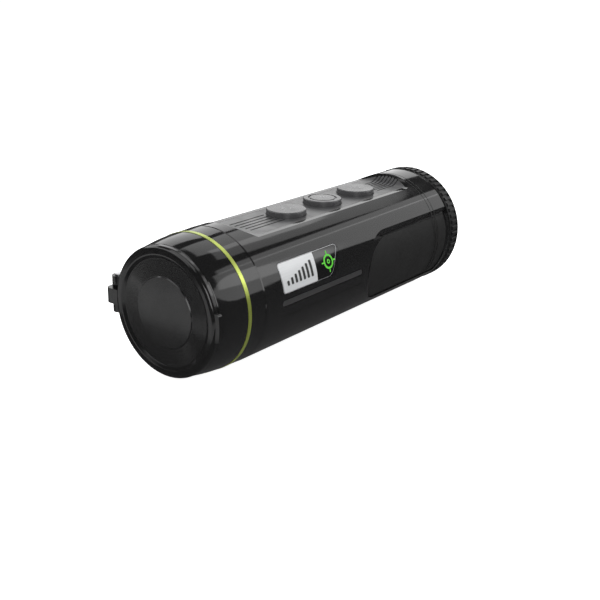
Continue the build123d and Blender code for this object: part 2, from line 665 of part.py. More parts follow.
def make_body_shell():
    edge = 1.3
    mid = edge * (1 - cos(radians(45)))
    outline = [
        Line((0, body_front), (BODY_R - 0.3, body_front)),
        Line((BODY_R - 0.3, body_front), (BODY_R, body_front + 0.3)),
        Line((BODY_R, body_front + 0.3), (BODY_R, body_rear - edge)),
        ThreePointArc((BODY_R, body_rear - edge), (BODY_R - mid, body_rear - mid),
                      (BODY_R - edge, body_rear)),
        Line((BODY_R - edge, body_rear), (0, body_rear)),
        Line((0, body_rear), (0, body_front)),
    ]
    shell = revolve(make_face(outline), Axis.Y)

    # Inside: full round at both ends, flat-topped between them under the panel.
    flat_from = spigot_end + 0.3
    flat_to = rim_y + 4.0
    cavity = ring(0, inner_r, body_front - 1, body_rear + 1)
    cavity -= block(-BODY_R, BODY_R, flat_from, flat_to, deck_z, BODY_R)
    shell -= cavity

    # Tripod boss, port boss and screw bosses on the inside.
    bosses = post(0, socket_y, -inner_r - 0.5, -axis_height + INSERT_LENGTH, INSERT_R + BOSS_WALL)
    for y in foot_screw_ys:
        bosses += post(0, y, -inner_r - 0.5, -inner_r + FOOT_BOSS_RISE, SCREW_R + BOSS_WALL)
    for x, z in plate_screw_spots:
        bosses += rod(x, z, plate_front - PLATE_BOSS_LENGTH, plate_front, PLATE_SCREW_R + 1.1)
    bosses -= ring(0, sleeve_r + CLIP_REACH + FREE, sleeve_front - 1, plate_front)
    port_pad = block(port_floor, port_floor + BOSS_WALL, port_y0 - 1, port_y1 + 1,
                     -PORT_HEIGHT / 2 - 0.4, PORT_HEIGHT / 2 + 0.4)
    shell += (bosses & ring(0, inner_r + 0.5, body_front, body_rear)) + port_pad
    shell = shell - post(0, socket_y, -axis_height - 1, -axis_height + INSERT_LENGTH, INSERT_R)
    for y in foot_screw_ys:
        shell -= post(0, y, -BODY_R - 1, -inner_r + FOOT_BOSS_RISE - 0.4, SCREW_R)
    for x, z in plate_screw_spots:
        shell -= rod(x, z, plate_rear - PLATE_SCREW_LENGTH - 0.1, plate_rear, PLATE_SCREW_R)

    # Top flat with its rounded front end, and the recess for the panel.
    nose_y = body_front + FLAT_START + FLAT_NOSE_R
    flat_plan = Pos(0, nose_y) * Circle(FLAT_NOSE_R)
    flat_plan += Pos(0, (nose_y + body_rear) / 2) * Rectangle(2 * FLAT_NOSE_R,
                                                             body_rear - nose_y)
    shell -= above(0) & plan(flat_plan, 0, BODY_R + 4)
    shell -= above(PANEL_THICK) & plan(panel_outline(SEAT), 0, BODY_R + 4)
    for y in button_ys:
        shell -= post(0, y, deck_z - 1, floor_z + 1, BUTTON_R + BUTTON_FLANGE_OUT + FREE)

    # Side features: badge, slot, fine line, grips and the port.
    shell -= badge_layer(SEAT, BADGE_DEPTH, 1.0)
    slot = Pos(body_front + SLOT_START + SLOT_LENGTH / 2, -0.1) * SlotOverall(SLOT_LENGTH,
                                                                            SLOT_HEIGHT)
    shell -= side(slot, BODY_R - SLOT_DEPTH, BODY_R + 1)
    shell -= block(BODY_R - 1.2, BODY_R + 1, body_front + SLOT_START,
                   body_front + SLOT_START + SCRIBE_LENGTH, -SCRIBE_DROP - 0.12,
                   -SCRIBE_DROP + 0.12)
    recess = grip_recess()
    shell -= recess
    shell -= mirror(recess, about=Plane.YZ)
    shell -= port_blank(PORT_GAP)
    shell -= block(-BODY_R - 3, port_floor, port_y0 - PORT_GAP, port_y1 + PORT_GAP,
                   -PORT_HEIGHT / 2 - PORT_GAP, flap_pivot_z)
    usb = Pos(port_y, 0) * SlotOverall(USB_WIDTH + 0.1, USB_HEIGHT + 0.1)
    shell -= side(usb, port_floor - 1, port_floor + 3)
    return shell


def make_top_panel():
    panel = plan(panel_outline(), 0, BODY_R + 4) & (above(PANEL_THICK) - above(0))
    for y in button_ys:
        panel -= post(0, y, floor_z - 1, flat_z + 1, BUTTON_R + BUTTON_GAP)
    groove_front = panel_front + 2.2
    groove_rear = button_ys[0] - BUTTON_R + 0.5
    strips = []
    for i in range(GROOVE_COUNT):
        x = (i - (GROOVE_COUNT - 1) / 2) * GROOVE_PITCH
        strips.append(block(x - GROOVE_WIDTH / 2, x + GROOVE_WIDTH / 2, groove_front,
                            groove_rear, 0, BODY_R + 4))
    for i in range(RIB_COUNT):
        x = (i - (RIB_COUNT - 1) / 2) * RIB_PITCH
        strips.append(block(x - GROOVE_WIDTH / 2, x + GROOVE_WIDTH / 2,
                            button_ys[-1] + BUTTON_R + 1.2, body_rear, 0, BODY_R + 4))
    grooves = above(GROOVE_DEPTH)
    for strip in strips:
        panel -= strip & grooves
    return panel


def make_button(y, ring_groove=False):
    top = flat_z + BUTTON_PROUD
    flange_top = floor_z - 0.1
    flange_low = flange_top - BUTTON_FLANGE
    cap = post(0, y, flange_low, top, BUTTON_R)
    cap = fillet(cap.edges().sort_by(Axis.Z)[-1], BUTTON_EDGE)
    button = cap + post(0, y, flange_low, flange_top, BUTTON_R + BUTTON_FLANGE_OUT)
    if ring_groove:
        low = top - RING_GROOVE_DEPTH
        groove = post(0, y, low, top + 1, RING_GROOVE_R)
        groove -= post(0, y, low, top + 1, RING_GROOVE_R - RING_GROOVE_WIDTH)
        button -= groove
    return button + post(0, y, dome_top + BUTTON_TRAVEL + 0.1, flange_low, STEM_R)


gasket_low = deck_z - 2 * GASKET_THICK
board_top = gasket_low - GASKET_SPACE
dome_top = board_top + DOME_HEIGHT
board_front = button_ys[0] - BOARD_MARGIN
board_rear = button_ys[-1] + BOARD_MARGIN
board_half = PANEL_HALF - 0.4


def make_button_gasket():
    sheet = block(-board_half, board_half, board_front, board_rear, board_top, deck_z)
    inner_half = board_half - GASKET_RIM
    front = board_front + GASKET_RIM
    rear = board_rear - GASKET_RIM
    sheet -= block(-inner_half, inner_half, front, rear, board_top - 1, gasket_low)
    sheet -= block(-inner_half, inner_half, front, rear, gasket_low + GASKET_THICK, deck_z + 1)
    for y in button_ys:
        sheet -= post(0, y, gasket_low - 1, deck_z, STEM_R + FREE)
    return sheet


def make_button_board():
    return block(-board_half, board_half, board_front, board_rear, board_top - BOARD_THICK,
                 board_top)


def make_dome_switches():
    domes = []
    for y in button_ys:
        dome = post(0, y, board_top, dome_top, DOME_R)
        domes.append(fillet(dome.edges().sort_by(Axis.Z)[-1], DOME_HEIGHT * 0.6))
    return domes


# ---- Side pieces -----------------------------------------------------------------------
def badge_half(front_part):
    layer = badge_layer(0, BADGE_DEPTH - 0.02, 0.03)
    lean = 0.5
    cut_y = BADGE_SPLIT
    big = BADGE_LENGTH + 10
    side_x = -10 if front_part else big
    face = Polygon((cut_y - lean, -BADGE_HEIGHT), (side_x, -BADGE_HEIGHT),
                   (side_x, BADGE_HEIGHT), (cut_y + lean, BADGE_HEIGHT), align=None)
    return layer & from_badge_plane(face)


def make_badge_plate():
    return badge_half(True)


def make_badge_window():
    return badge_half(False)


def make_left_grip_pad():
    layer = ring(grip_floor_r, grip_floor_r + GRIP_THICK, body_front, body_rear)
    return side(grip_outline(-SEAT), grip_base_x, BODY_R + 3) & layer


def make_right_grip_pad():
    return mirror(make_left_grip_pad(), about=Plane.YZ)


# ---- Foot ------------------------------------------------------------------------------
def make_foot_rail():
    rail = foot_blank() - post(0, socket_y, -axis_height - 1, -BODY_R + 3, INSERT_R)
    for y in foot_screw_ys:
        rail -= post(0, y, -axis_height - 1, -BODY_R + 3, SCREW_R)
        rail -= post(0, y, -axis_height - 1, -axis_height + SCREW_HEAD, SCREW_HEAD_R)
    return rail


def make_tripod_insert():
    insert = post(0, socket_y, -axis_height, -axis_height + INSERT_LENGTH, INSERT_R)
    return insert - post(0, socket_y, -axis_height - 1, -axis_height + SOCKET_DEPTH, SOCKET_R)


def make_foot_screws():
    screws = []
    for y in foot_screw_ys:
        screw = post(0, y, -axis_height + SCREW_HEAD, -inner_r + FOOT_BOSS_RISE - 0.5,
                     SCREW_R - 0.02)
        head = post(0, y, -axis_height + 0.05, -axis_height + SCREW_HEAD, SCREW_HEAD_R - FIT)
        screws.append(screw + head)
    return screws


# ---- Inside ----------------------------------------------------------------------------
chassis_front = body_front + CHASSIS_START
chassis_rear = body_rear - CHASSIS_SPACE
battery_z = -axis_height + INSERT_LENGTH + 0.4 + BATTERY_R
battery_front = body_front + BATTERY_START
battery_rear = battery_front + BATTERY_LENGTH


def half_width(z):
    """Half the width inside the tube at a height, with a little clearance."""
    return sqrt(inner_r ** 2 - z ** 2) - 0.4


tray_z = battery_z + BATTERY_R + 0.3
chassis_half = half_width(MAIN_BOARD_Z)
wall_top = board_top - BOARD_THICK
board_post_spots = [
    (x, y)
    for x in (-board_half + BOARD_POST_X, board_half - BOARD_POST_X)
    for y in (board_front + BOARD_POST_Y, board_rear - BOARD_POST_Y)
]


def make_chassis():
    """A carrier between battery and boards, with posts up to the button board."""
    tray = block(-chassis_half, chassis_half, chassis_front, chassis_rear, tray_z,
                 tray_z + CHASSIS_THICK)
    frame = tray
    for x in (-chassis_half + 1.5, chassis_half - 1.5):
        frame += block(x - 1.2, x + 1.2, chassis_front, chassis_rear, tray_z, MAIN_BOARD_Z)
    for x, y in board_post_spots:
        frame += post(x, y, tray_z, wall_top, BOARD_POST_R)
    frame -= block(-BODY_R, port_floor + USB_DEPTH + 1, port_y0 - 1.5, port_y1 + 1.5,
                   -PORT_HEIGHT, MAIN_BOARD_Z)
    clip_low = battery_z - BATTERY_R / 2
    for y in (battery_front - BATTERY_TIP - CLIP_WALL, battery_rear + BATTERY_TIP):
        frame += block(-BATTERY_R, BATTERY_R, y, y + CLIP_WALL, clip_low, tray_z)
    return frame


def make_main_board():
    board = block(-chassis_half, chassis_half, chassis_front, chassis_rear, MAIN_BOARD_Z,
                  MAIN_BOARD_Z + BOARD_THICK)
    for x, y in board_post_spots:
        board -= post(x, y, MAIN_BOARD_Z - 1, MAIN_BOARD_Z + 3, BOARD_POST_R + FIT)
    return board


def make_processor_shield():
    y = button_ys[1]
    top = MAIN_BOARD_Z + BOARD_THICK
    half = CHIP_SIDE / 2
    shield = block(-half, half, y - half, y + half, top, top + CHIP_HEIGHT)
    return fillet(shield.edges().group_by(Axis.Z)[-1], 0.5)


def make_memory_chips():
    y = button_ys[1] + CHIP_SIDE
    top = MAIN_BOARD_Z + BOARD_THICK
    chips = []
    for x in (-MEMORY_PITCH / 2, MEMORY_PITCH / 2):
        chips.append(block(x - MEMORY_WIDTH / 2, x + MEMORY_WIDTH / 2, y - MEMORY_LENGTH / 2,
                           y + MEMORY_LENGTH / 2, top, top + CHIP_HEIGHT / 2))
    return chips


def make_battery():
    cell = rod(0, battery_z, battery_front, battery_rear, BATTERY_R)
    cell = fillet(cell.edges(), 0.8)
    tip_front = battery_front - BATTERY_TIP + 0.1
    return cell + rod(0, battery_z, tip_front, battery_front + 0.5, BATTERY_R / 3)


def make_usb_socket():
    outer = Pos(port_y, 0) * SlotOverall(USB_WIDTH, USB_HEIGHT)
    inner = Pos(port_y, 0) * SlotOverall(USB_WIDTH - 2 * USB_WALL, USB_HEIGHT - 2 * USB_WALL)
    shell = side(outer, port_floor + 0.1, port_floor + 0.1 + USB_DEPTH)
    shell -= side(inner, port_floor, port_floor + USB_DEPTH - 0.6)
    tongue = block(port_floor + 0.9, port_floor + USB_DEPTH, port_y - 3.2, port_y + 3.2,
                   -0.35, 0.35)
    return shell + tongue


def make_port_cover():
    """Rubber flap over the socket, turning on the half-round edge along its bottom."""
    flap = port_blank() & ring(0, BODY_R, body_front, body_rear)
    flap -= block(port_floor - 0.1, 0, body_front, body_rear, -PORT_HEIGHT, PORT_HEIGHT)
    flap -= block(flap_pivot_x - 4, 0, port_y0 - 1, port_y1 + 1, -PORT_HEIGHT, flap_pivot_z)
    return flap + rod(flap_pivot_x, flap_pivot_z, port_y0 + PORT_HINGE_INSET,
                      port_y1 - PORT_HINGE_INSET, PORT_EDGE)


# ---- Eyepiece --------------------------------------------------------------------------
def make_rear_plate():
    plate = ring(sleeve_r + 0.15, inner_r - FIT, plate_front, plate_rear)
    for x, z in plate_screw_spots:
        plate -= rod(x, z, plate_front - 1, plate_rear + 1, PLATE_SCREW_R)
    return plate


def make_plate_screws():
    screws = []
    for x, z in plate_screw_spots:
        screw = rod(x, z, plate_rear - PLATE_SCREW_LENGTH, plate_rear, PLATE_SCREW_R - 0.02)
        head = rod(x, z, plate_rear, plate_rear + PLATE_SCREW_HEAD, PLATE_SCREW_HEAD_R)
        head -= rod(x, z, plate_rear + PLATE_SCREW_HEAD / 2, plate_rear + 2, 0.5)
        screws.append(screw + head)
    return screws


def make_eyepiece_tube():
    flange_y = tube_front + TUBE_FLANGE_Y
    flange = ring(tube_r - 1, inner_r - FIT, flange_y, flange_y + 1.6)
    flange -= block(-BODY_R, BODY_R, flange_y - 1, flange_y + 3, deck_z - FIT, BODY_R)
    tube = ring(cell_bore, tube_r, tube_front, tube_rear) + flange
    for i in range(CELL_PINS):
        slot = block(0, tube_r + 1, pin_y - slot_half, pin_y + slot_half,
                     -CELL_PIN_R - 0.15, CELL_PIN_R + 0.15)
        tube -= Rot(0, 90 + 360 / CELL_PINS * i, 0) * slot
    return tube


def make_display_board():
    return ring(0, cell_bore + 1.0, tube_front - BOARD_THICK, tube_front)


def make_display_panel():
    w = DISPLAY_WIDTH / 2
    h = DISPLAY_HEIGHT / 2
    return block(-w, w, tube_front, tube_front + DISPLAY_THICK, -h, h)


front_eye_lens_y = cell_front + 1.6
eye_spacer_y = front_eye_lens_y + EYE_LENS_EDGE
rear_eye_lens_y = cell_rear - 2.0 - EYE_LENS_EDGE


def make_lens_cell():
    cell = ring(eye_lens_r + FIT, cell_r, cell_front, cell_rear)
    cell += ring(eye_lens_r - 1.0, cell_r, cell_front, front_eye_lens_y)
    for i in range(CELL_PINS):
        hole = Pos(cell_r, pin_y, 0) * Rot(0, 90, 0) * Cylinder(CELL_PIN_R, 2 * 1.6)
        cell -= Rot(0, 90 + 360 / CELL_PINS * i, 0) * hole
    return cell


def make_cell_pins():
    start = cell_r - 1.6
    end = DIAL_BORE + 0.7
    pins = []
    for i in range(CELL_PINS):
        pin = Pos((start + end) / 2, pin_y, 0) * Rot(0, 90, 0) * Cylinder(CELL_PIN_R, end - start)
        pins.append(Rot(0, 90 + 360 / CELL_PINS * i, 0) * pin)
    return pins


def make_front_eye_lens():
    return lens(eye_lens_r, front_eye_lens_y, EYE_LENS_EDGE, -0.5, -EYE_BULGE)


def make_lens_spacer():
    inner = eye_lens_r - 1.2
    front = eye_spacer_y + bulge(eye_lens_r, EYE_BULGE, inner)
    rear = rear_eye_lens_y - bulge(eye_lens_r, EYE_BULGE, inner)
    return ring(inner, eye_lens_r, front, rear)


def make_rear_eye_lens():
    return lens(eye_lens_r, rear_eye_lens_y, EYE_LENS_EDGE, EYE_BULGE, -EYE_BULGE)


def make_cell_retainer():
    inner = eye_lens_r - 1.2
    front = rear_eye_lens_y + EYE_LENS_EDGE + bulge(eye_lens_r, EYE_BULGE, inner)
    return ring(inner, eye_lens_r, front, cell_rear - 0.3)


def make_dioptre_ring():
    outer = BODY_R + DIAL_PROUD
    grip_rear = dial_front + DIAL_GRIP
    lip = dial_rear - grip_rear
    root = outer - DIAL_RIB_DEPTH
    mouth = DIAL_BORE + 2.2
    outline = [
        Line((DIAL_BORE, sleeve_front), (sleeve_r, sleeve_front)),
        Line((sleeve_r, sleeve_front), (sleeve_r, dial_front)),
        Line((sleeve_r, dial_front), (root - 0.5, dial_front)),
        Line((root - 0.5, dial_front), (root, dial_front + 0.5)),
        Line((root, dial_front + 0.5), (root, grip_rear)),
        Line((root, grip_rear), (outer, grip_rear)),
        ThreePointArc((outer, grip_rear), (outer - 0.35 * lip, dial_rear - 0.3 * lip),
                      (outer - lip - 0.4, dial_rear)),
        Line((outer - lip - 0.4, dial_rear), (mouth + 1.2, dial_rear)),
        Line((mouth + 1.2, dial_rear), (DIAL_BORE, dial_rear - 2.6)),
        Line((DIAL_BORE, dial_rear - 2.6), (DIAL_BORE, sleeve_front)),
    ]
    dial = revolve(make_face(outline), Axis.Y)
    pitch = 2 * pi * root / DIAL_RIBS
    rib = block(root - 0.4, outer, dial_front + 0.3, grip_rear + 0.2, -pitch * 0.3, pitch * 0.3)
    rib = chamfer(rib.edges().filter_by(Axis.Y).group_by(Axis.X)[-1], 0.25)
    ribs = [Rot(0, 360 / DIAL_RIBS * i, 0) * rib for i in range(DIAL_RIBS)]
    dial = dial + ribs
    groove = ring(DIAL_BORE - 1, DIAL_BORE + 0.9, pin_y - slot_half - 0.1,
                  pin_y + slot_half + 0.1)
    clip_groove = ring(sleeve_r - 0.6, sleeve_r + 1, sleeve_front + 0.4, clip_rear)
    return dial - groove - clip_groove


def make_dioptre_clip():
    clip = ring(sleeve_r - 0.6, sleeve_r + CLIP_REACH, sleeve_front + 0.42, clip_rear - 0.02)
    gap = block(-1.2, 1.2, sleeve_front, clip_rear + 1, -BODY_R, 0)
    return clip - gap


def make_ring_seal():
    return ring(sleeve_r + FREE, sleeve_r + FREE + 0.9, plate_rear, plate_rear + 1.2)


def make_eyecup():
    front = tube_rear
    rear = front + CUP_DEPTH
    outer = tube_r - 0.1
    inner = outer - CUP_WALL
    outline = [
        Line((cell_bore - 0.6, front), (outer, front)),
        Line((outer, front), (outer, rear - 1.4)),
        ThreePointArc((outer, rear - 1.4), (outer - 0.6, rear - 0.35), (outer - 1.8, rear)),
        ThreePointArc((outer - 1.8, rear), (inner + 1.0, rear - 0.9), (inner, rear - 2.6)),
        Line((inner, rear - 2.6), (cell_bore - 0.6, front)),
    ]
    return revolve(make_face(outline), Axis.Y)


# ---- All the pieces --------------------------------------------------------------------
PIECES = {
    "front_bezel": make_front_bezel,
    "accent_ring": make_accent_ring,
    "front_housing": make_front_housing,
    "front_seal": make_front_seal,
    "lens_cover": make_lens_cover,
    "cover_liner": make_cover_liner,
    "hinge_pin": make_hinge_pin,
    "objective_barrel": make_objective_barrel,
    "objective_lens": make_objective_lens,
    "objective_retainer": make_objective_retainer,
    "rear_objective_lens": make_rear_objective_lens,
    "rear_lens_retainer": make_rear_lens_retainer,
    "shutter_frame": make_shutter_frame,
    "shutter_motor": make_shutter_motor,
    "shutter_blade": make_shutter_blade,
    "detector_package": make_detector_package,
    "detector_window": make_detector_window,
    "detector_board": make_detector_board,
    "body_shell": make_body_shell,
    "top_panel": make_top_panel,
    "front_button": lambda: make_button(button_ys[0]),
    "middle_button": lambda: make_button(button_ys[1], ring_groove=True),
    "rear_button": lambda: make_button(button_ys[2]),
    "button_gasket": make_button_gasket,
    "button_board": make_button_board,
    "dome_switches": make_dome_switches,
    "badge_plate": make_badge_plate,
    "badge_window": make_badge_window,
    "left_grip_pad": make_left_grip_pad,
    "right_grip_pad": make_right_grip_pad,
    "foot_rail": make_foot_rail,
    "tripod_insert": make_tripod_insert,
    "foot_screws": make_foot_screws,
    "chassis": make_chassis,
    "main_board": make_main_board,
    "processor_shield": make_processor_shield,
    "memory_chips": make_memory_chips,
    "battery": make_battery,
    "usb_socket": make_usb_socket,
    "port_cover": make_port_cover,
    "rear_plate": make_rear_plate,
    "plate_screws": make_plate_screws,
    "eyepiece_tube": make_eyepiece_tube,
    "display_board": make_display_board,
    "display_panel": make_display_panel,
    "lens_cell": make_lens_cell,
    "cell_pins": make_cell_pins,
    "front_eye_lens": make_front_eye_lens,
    "lens_spacer": make_lens_spacer,
    "rear_eye_lens": make_rear_eye_lens,
    "cell_retainer": make_cell_retainer,
    "dioptre_ring": make_dioptre_ring,
    "dioptre_clip": make_dioptre_clip,
    "ring_seal": make_ring_seal,
    "eyecup": make_eyecup,
}

to_socket = Pos(0, -socket_y, axis_height)


def main():
    os.makedirs("parts", exist_ok=True)
    for name, make in PIECES.items():
        made = make()
        solids = made if isinstance(made, list) else [made]
        placed = [solid for piece in solids for solid in (to_socket * piece).solids()]
        whole = placed[0] if len(placed) == 1 else Compound(children=placed)
        whole.label = name
        export_step(whole, f"parts/{name}.step")
    for name, y, z in (("hinge", hinge_y, 0), ("shutter shaft", 0, shaft_z),
                       ("port flap", port_y, flap_pivot_z), ("accent ring", 0, 0)):
        print(f"{name}: y {y - socket_y:.3f} z {z + axis_height:.3f}")
    print(f"hinge x {hinge_x:.3f}, flap pivot x {flap_pivot_x:.3f}")
    print(f"focus travel {CELL_TRAVEL / 1000 / radians(DIAL_TURN):.6f} m per radian of the dial")


main()
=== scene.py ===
# %% [markdown]
# # A pocket thermal monocular
# The imported model gives every hard piece its place. Here it is loaded, and its pieces are
# kept by name, so that their boxes can be measured. Everything is in metres.

import json
from math import cos, pi, radians, sin

import bmesh
import bpy
from mathutils import Matrix, Vector


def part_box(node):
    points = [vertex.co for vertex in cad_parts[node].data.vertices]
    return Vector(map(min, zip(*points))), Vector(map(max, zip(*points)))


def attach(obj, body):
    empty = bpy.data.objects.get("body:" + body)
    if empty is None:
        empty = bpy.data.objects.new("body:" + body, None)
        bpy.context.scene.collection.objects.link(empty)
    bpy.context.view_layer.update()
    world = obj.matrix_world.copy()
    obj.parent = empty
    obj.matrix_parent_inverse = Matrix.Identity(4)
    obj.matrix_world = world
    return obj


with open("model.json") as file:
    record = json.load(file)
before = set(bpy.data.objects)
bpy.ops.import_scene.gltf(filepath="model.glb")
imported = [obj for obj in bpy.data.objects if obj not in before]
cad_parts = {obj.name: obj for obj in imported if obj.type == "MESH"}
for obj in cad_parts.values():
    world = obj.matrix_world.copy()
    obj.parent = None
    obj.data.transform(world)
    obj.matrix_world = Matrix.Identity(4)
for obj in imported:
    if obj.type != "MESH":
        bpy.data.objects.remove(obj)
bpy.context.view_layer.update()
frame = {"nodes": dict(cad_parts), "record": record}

# %% [markdown]
# The optical axis runs along +Y. Its height, and the radius and ends of the main tube, are
# read from the pieces that carry them, so most of what is added here follows the model.

# %% Measure the tube
tube_low, tube_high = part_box("body_shell")
ring_low, ring_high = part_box("accent_ring")
axis_z = (ring_low[2] + ring_high[2]) / 2
tube_r = tube_high[0]
print("axis height", round(axis_z * 1000, 2), "tube radius", round(tube_r * 1000, 2))

# %% [markdown]
# ## The camera
# A product picture of a long round object works best from the front corner and a little
# above, where one view shows the cover, the side and the top. The turn about its own line
# of sight is small, and only sets how the tube leans in the frame.

# %% Camera
CAMERA_PLACE = (0.2335, -0.3081, 0.1489)
AZIMUTH, ELEVATION, LEAN = radians(37.11), radians(19.70), radians(1.23)
camera_data = bpy.data.cameras.new("studio_camera")
camera_data.sensor_width = 36.0
camera_data.lens = 59.48
camera = bpy.data.objects.new("studio_camera", camera_data)
bpy.context.scene.collection.objects.link(camera)
facing = Matrix.Rotation(AZIMUTH, 4, "Z") @ Matrix.Rotation(pi / 2 - ELEVATION, 4, "X")
camera.matrix_world = (Matrix.Translation(CAMERA_PLACE) @ facing
                       @ Matrix.Rotation(LEAN, 4, "Z"))
bpy.context.scene.camera = camera
print("camera stands", round(Vector(CAMERA_PLACE).length, 3), "m from the socket")

# %% [markdown]
# ## Shader sums in plain Python
# A material in Blender is a graph of nodes. Two small classes let it be written as sums:
# a Signal is one output of a node, and its operators add Math nodes. A Finish is a whole
# material, and its node method makes any other node from its type, settings and sockets.

# %% Signal and Finish
class Signal:
    """One output of a node, so that sums on it can be written with operators."""

    def __init__(self, finish, socket):
        self.finish = finish
        self.socket = socket

    def sum(self, operation, first, second):
        return self.finish.node("ShaderNodeMath", {"operation": operation},
                                {0: first, 1: second})

    def __add__(self, other):
        return self.sum("ADD", self, other)

    __radd__ = __add__

    def __sub__(self, other):
        return self.sum("SUBTRACT", self, other)

    def __rsub__(self, other):
        return self.sum("SUBTRACT", other, self)

    def __mul__(self, other):
        return self.sum("MULTIPLY", self, other)

    __rmul__ = __mul__

    def __pow__(self, other):
        return self.sum("POWER", self, other)


class Finish:
    """A material, with one Principled shader whose sockets are set by name."""

    def __init__(self, name):
        self.material = bpy.data.materials.new(name)
        self.material.use_nodes = True
        self.tree = self.material.node_tree
        self.shader = self.tree.nodes["Principled BSDF"]
        self.place = self.node("ShaderNodeTexCoord", output="Object")

    def node(self, kind, settings=None, sockets=None, output=0):
        made = self.tree.nodes.new(kind)
        for name, value in (settings or {}).items():
            setattr(made, name, value)
        for name, value in (sockets or {}).items():
            if isinstance(value, Signal):
                self.tree.links.new(value.socket, made.inputs[name])
            else:
                made.inputs[name].default_value = value
        return Signal(self, made.outputs[output])

    def set(self, **sockets):
        """Set the shader's own sockets, with an underscore for each space."""
        for name, value in sockets.items():
            socket = self.shader.inputs[name.replace("_", " ")]
            if isinstance(value, Signal):
                self.tree.links.new(value.socket, socket)
            else:
                socket.default_value = value

    def noise(self, scale, detail=2.0, at=None):
        return self.node("ShaderNodeTexNoise", {"noise_dimensions": "3D"},
                         {"Vector": at or self.place, "Scale": scale, "Detail": detail})

    def remap(self, signal, low, high, to_low, to_high):
        return self.node("ShaderNodeMapRange", {"clamp": True, "interpolation_type": "LINEAR"},
                         {0: signal, 1: low, 2: high, 3: to_low, 4: to_high})

    def blend(self, mask, first, second):
        """A colour between two others."""
        return self.node("ShaderNodeMix", {"data_type": "RGBA"},
                         {0: mask, 6: first, 7: second}, 2)

    def bump(self, height, strength, distance):
        normal = self.node("ShaderNodeBump", {},
                           {"Strength": strength, "Distance": distance, "Height": height})
        self.set(Normal=normal)

    def axes(self):
        """Distances along X, along Y and up, as three signals."""
        split = self.node("ShaderNodeSeparateXYZ", {}, {"Vector": self.place}, "X").socket.node
        return [Signal(self, split.outputs[name]) for name in "XYZ"]

    def from_axis(self):
        """Distance from the optical axis."""
        x, _, z = self.axes()
        rise = z - axis_z
        return (x * x + rise * rise) ** 0.5


def rgba(red, green, blue):
    return (red, green, blue, 1.0)


# %% [markdown]
# ## A moulded finish
# Injection-moulded plastic is never one flat colour. Resin flow leaves a slight change in
# tone, handling polishes some places and dulls others, and the tool's surface leaves grain.
# One function makes these three for any plastic, rubber or metal, at sizes given in metres.

# %% Moulded finish
def moulded(name, colour, roughness, grain=0.0004, depth=0.00001, tone=0.15, polish=0.06,
            strength=0.4, cloud=0.02, **constants):
    """A finish with a tone that drifts, gloss that varies and a fine grain."""
    made = Finish(name)
    darker = rgba(*[c * (1 - tone) for c in colour])
    lighter = rgba(*[c * (1 + tone) for c in colour])
    drift = made.noise(1 / cloud, 3.0)
    made.set(Base_Color=made.blend(drift, darker, lighter))
    rub = made.noise(3 / cloud, 4.0)
    made.set(Roughness=made.remap(rub, 0.3, 0.7, max(roughness - polish, 0.03),
                                  roughness + polish))
    made.bump(made.noise(1 / grain, 2.0), strength, depth)
    made.set(**constants)
    return made


finishes = {}
finishes["panel_satin"] = moulded("panel_satin", (0.07, 0.07, 0.072), 0.34, grain=0.0003)
finishes["grip_rubber"] = moulded("grip_rubber", (0.012, 0.012, 0.012), 0.62, depth=0.00008,
                                  grain=0.0005, strength=0.9, Specular_IOR_Level=0.35)
finishes["cup_rubber"] = moulded("cup_rubber", (0.014, 0.014, 0.014), 0.55, depth=0.00004)
finishes["dial_black"] = moulded("dial_black", (0.010, 0.010, 0.0103), 0.46, grain=0.0003)
finishes["matte_black"] = moulded("matte_black", (0.02, 0.02, 0.02), 0.6)
finishes["black_aluminium"] = moulded("black_aluminium", (0.03, 0.03, 0.032), 0.38,
                                      Metallic=0.8)
finishes["silicone"] = moulded("silicone", (0.05, 0.05, 0.052), 0.5)
finishes["foam_grey"] = moulded("foam_grey", (0.12, 0.12, 0.12), 0.85, depth=0.0001,
                                grain=0.0006, strength=0.8)
finishes["steel"] = moulded("steel", (0.55, 0.55, 0.56), 0.28, Metallic=1.0)
finishes["brass"] = moulded("brass", (0.78, 0.58, 0.25), 0.25, Metallic=1.0)
finishes["circuit_green"] = moulded("circuit_green", (0.01, 0.09, 0.035), 0.35)
finishes["ceramic_grey"] = moulded("ceramic_grey", (0.3, 0.29, 0.27), 0.55)
finishes["chip_black"] = moulded("chip_black", (0.02, 0.02, 0.022), 0.45)
finishes["battery_wrap"] = moulded("battery_wrap", (0.02, 0.09, 0.3), 0.3)
finishes["display_glass"] = moulded("display_glass", (0.01, 0.012, 0.016), 0.08, polish=0.03)
finishes["accent_lime"] = moulded("accent_lime", (0.46, 0.54, 0.12), 0.3, tone=0.08,
                                  grain=0.0003, Metallic=0.8)
print("moulded finishes:", len(finishes))

# %% [markdown]
# ## Piano black
# The tube is high-gloss black. The resin itself is nearly mirror smooth, so almost all that
# is seen is reflection: the finish needs a dark base, a low roughness, a faint flow ripple
# that bends reflections a little, and fine rubbing where a hand holds it.

# %% Piano black
def piano_black(name, base, roughness):
    made = Finish(name)
    drift = made.noise(40.0, 3.0)
    made.set(Base_Color=made.blend(drift, rgba(base, base, base * 1.03),
                                   rgba(base * 1.5, base * 1.5, base * 1.55)))
    rub = made.noise(180.0, 5.0)
    made.set(Roughness=made.remap(rub, 0.35, 0.75, roughness, roughness + 0.05))
    ripple = made.noise(55.0, 1.0) * 0.7 + made.noise(2600.0, 1.0) * 0.05
    made.bump(ripple, 0.25, 0.00012)
    made.set(Specular_IOR_Level=0.5)
    return made


finishes["gloss_black"] = piano_black("gloss_black", 0.0065, 0.06)
finishes["window_black"] = piano_black("window_black", 0.004, 0.05)

